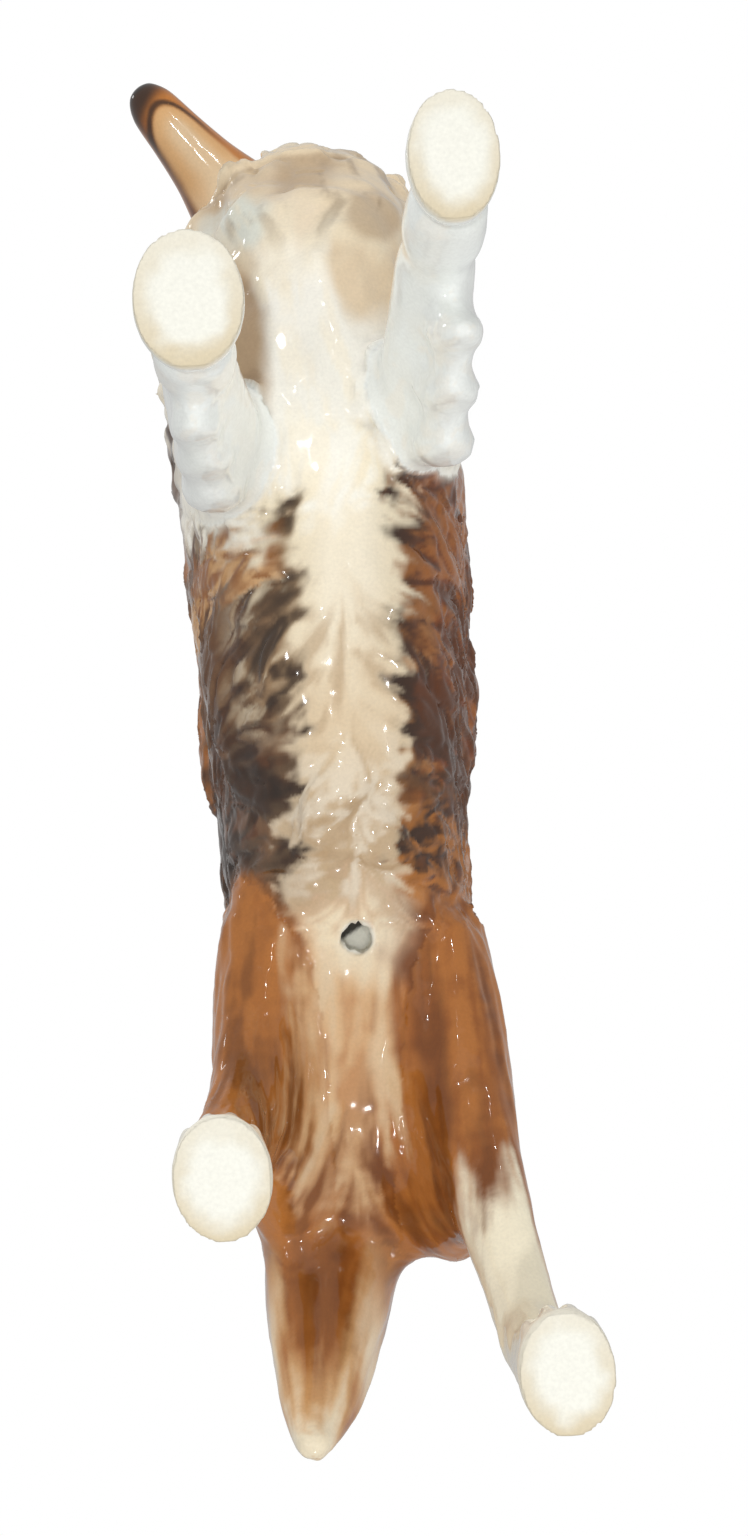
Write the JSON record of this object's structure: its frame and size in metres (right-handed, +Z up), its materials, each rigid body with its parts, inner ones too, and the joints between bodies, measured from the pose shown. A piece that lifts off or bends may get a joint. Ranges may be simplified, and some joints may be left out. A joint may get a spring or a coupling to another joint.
{
  "type": "dog figurine",
  "caption": "Standing rough collie figurine in painted and glazed china, head turned to one side, with flat unglazed soles and a small vent hole in the belly.",
  "frame": {"origin": "on the ground, under the middle of the figure", "axes": "-Y is the way the trunk faces, +X is the dog's left side, +Z is up"},
  "size_m": [0.0476, 0.1924, 0.1268],
  "materials": {
    "sable_glaze": "hand-painted sable, brown and cream under a clear gloss glaze",
    "white_glaze": "white and cream china under a clear gloss glaze, unglazed sole",
    "slip": "fired slip, matt, inside the joints"
  },
  "bodies": {
    "root": {"torso": "sable_glaze", "head": "sable_glaze", "head_slip": "slip", "left_ear": "sable_glaze", "left_ear_slip": "slip", "right_ear": "sable_glaze", "right_ear_slip": "slip", "left_foreleg": "white_glaze", "left_foreleg_slip": "slip", "right_foreleg": "white_glaze", "right_foreleg_slip": "slip", "left_hind_leg": "sable_glaze", "left_hind_leg_slip": "slip", "right_hind_leg": "sable_glaze", "right_hind_leg_slip": "slip", "tail": "sable_glaze", "tail_slip": "slip"}
  },
  "joints": []
}
